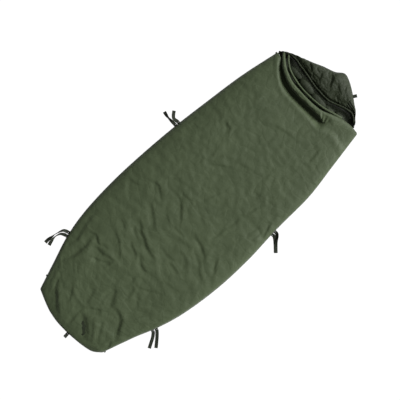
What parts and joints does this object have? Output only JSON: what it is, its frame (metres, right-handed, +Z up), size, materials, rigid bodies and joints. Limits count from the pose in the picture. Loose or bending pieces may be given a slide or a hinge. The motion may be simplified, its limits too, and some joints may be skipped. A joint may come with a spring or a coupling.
{
  "type": "bivy sack",
  "caption": "Hooded mummy-shaped bivy sack of olive nylon, lying flat, with a padded mouth, side zip and tie tapes to fasten it inside an outer bag.",
  "frame": {"origin": "on the ground under the middle of the sack's body", "axes": "+Y from foot to head, +X towards the side zip, +Z up"},
  "size_m": [1.1032, 2.3208, 0.064],
  "materials": {
    "shell_nylon": "thin olive nylon, soft creases, low sheen",
    "hood_nylon": "the same kind of nylon in a darker shade",
    "ground_nylon": "coated olive nylon, slightly darker",
    "lining_nylon": "soft olive lining cloth",
    "wadding": "white polyester filling",
    "seam_tape": "dark olive woven seam tape",
    "tie_tape": "dark green woven tape",
    "stitching": "olive thread",
    "zip_cloth": "dark olive knitted zip tape",
    "zip_teeth": "dark nylon coil",
    "zip_metal": "dark painted zinc",
    "elastic": "black covered elastic"
  },
  "bodies": {
    "sack": {"ground_sheet": "ground_nylon", "bottom_wadding": "wadding", "bottom_lining": "lining_nylon", "top_shell": "shell_nylon", "top_wadding": "wadding", "top_lining": "lining_nylon", "left_binding": "seam_tape", "foot_binding": "seam_tape", "right_binding": "seam_tape", "bar_tacks": "stitching", "chest_collar": "shell_nylon", "draft_collar": "shell_nylon", "tie_anchors": "tie_tape", "zip_tape_lower": "zip_cloth", "zip_tape_upper": "zip_cloth", "zip_coil_lower": "zip_teeth", "zip_coil_upper": "zip_teeth", "zip_end_stop": "zip_teeth"},
    "hood": {"hood_back": "ground_nylon", "hood_back_wadding": "wadding", "hood_back_lining": "lining_nylon", "hood_crown": "hood_nylon", "hood_crown_wadding": "wadding", "hood_crown_lining": "lining_nylon", "hood_binding": "seam_tape", "hood_tab": "tie_tape", "brim_channel": "hood_nylon", "brim_elastic": "elastic"},
    "zip_slider": {"zip_slider": "zip_metal"},
    "zip_pull": {"zip_pull": "zip_metal"},
    "left_shoulder_tie_a": {"left_shoulder_tie_a": "tie_tape"},
    "left_shoulder_tie_b": {"left_shoulder_tie_b": "tie_tape"},
    "right_shoulder_tie_a": {"right_shoulder_tie_a": "tie_tape"},
    "right_shoulder_tie_b": {"right_shoulder_tie_b": "tie_tape"},
    "left_leg_tie_a": {"left_leg_tie_a": "tie_tape"},
    "left_leg_tie_b": {"left_leg_tie_b": "tie_tape"},
    "right_leg_tie_a": {"right_leg_tie_a": "tie_tape"},
    "right_leg_tie_b": {"right_leg_tie_b": "tie_tape"},
    "foot_tie": {"foot_tie": "tie_tape"}
  },
  "joints": [
    {"name": "hood_lift", "type": "hinge", "parent": "sack", "child": "hood", "pos_m": [0, 0.985, 0.0012], "axis": [1, 0, 0], "range_deg": [0, 30]},
    {"name": "zip_slide", "type": "slide", "parent": "sack", "child": "zip_slider", "axis": [-0.1564, 0.9877, 0], "range_m": [-0.4, 0]},
    {"name": "pull_swing", "type": "hinge", "parent": "zip_slider", "child": "zip_pull", "pos_m": [0.35543, 0.96185, 0.0075], "axis": [0, 0, 1], "range_deg": [0, 170]},
    {"name": "left_shoulder_tie_a_lift", "type": "hinge", "parent": "sack", "child": "left_shoulder_tie_a", "pos_m": [-0.44037, 0.23854, 0.0012], "axis": [0.0872, 0.9962, 0], "range_deg": [0, 90]},
    {"name": "left_shoulder_tie_b_lift", "type": "hinge", "parent": "sack", "child": "left_shoulder_tie_b", "pos_m": [-0.43828, 0.26245, 0.0012], "axis": [0.0872, 0.9962, 0], "range_deg": [0, 90]},
    {"name": "right_shoulder_tie_a_lift", "type": "hinge", "parent": "sack", "child": "right_shoulder_tie_a", "pos_m": [0.44581, 0.20563, 0.0012], "axis": [0.0558, -0.9984, 0], "range_deg": [0, 90]},
    {"name": "right_shoulder_tie_b_lift", "type": "hinge", "parent": "sack", "child": "right_shoulder_tie_b", "pos_m": [0.44447, 0.2296, 0.0012], "axis": [0.0558, -0.9984, 0], "range_deg": [0, 90]},
    {"name": "left_leg_tie_a_lift", "type": "hinge", "parent": "sack", "child": "left_leg_tie_a", "pos_m": [-0.40879, -0.69903, 0.0012], "axis": [-0.2487, 0.9686, 0], "range_deg": [0, 90]},
    {"name": "left_leg_tie_b_lift", "type": "hinge", "parent": "sack", "child": "left_leg_tie_b", "pos_m": [-0.41476, -0.67578, 0.0012], "axis": [-0.2487, 0.9686, 0], "range_deg": [0, 90]},
    {"name": "right_leg_tie_a_lift", "type": "hinge", "parent": "sack", "child": "right_leg_tie_a", "pos_m": [0.36693, -0.71691, 0.0012], "axis": [-0.3404, -0.9403, 0], "range_deg": [0, 90]},
    {"name": "right_leg_tie_b_lift", "type": "hinge", "parent": "sack", "child": "right_leg_tie_b", "pos_m": [0.3751, -0.69434, 0.0012], "axis": [-0.3404, -0.9403, 0], "range_deg": [0, 90]},
    {"name": "foot_tie_lift", "type": "hinge", "parent": "sack", "child": "foot_tie", "pos_m": [0.02435, -1.10284, 0.0012], "axis": [-0.998, -0.0628, 0], "range_deg": [0, 90]}
  ]
}
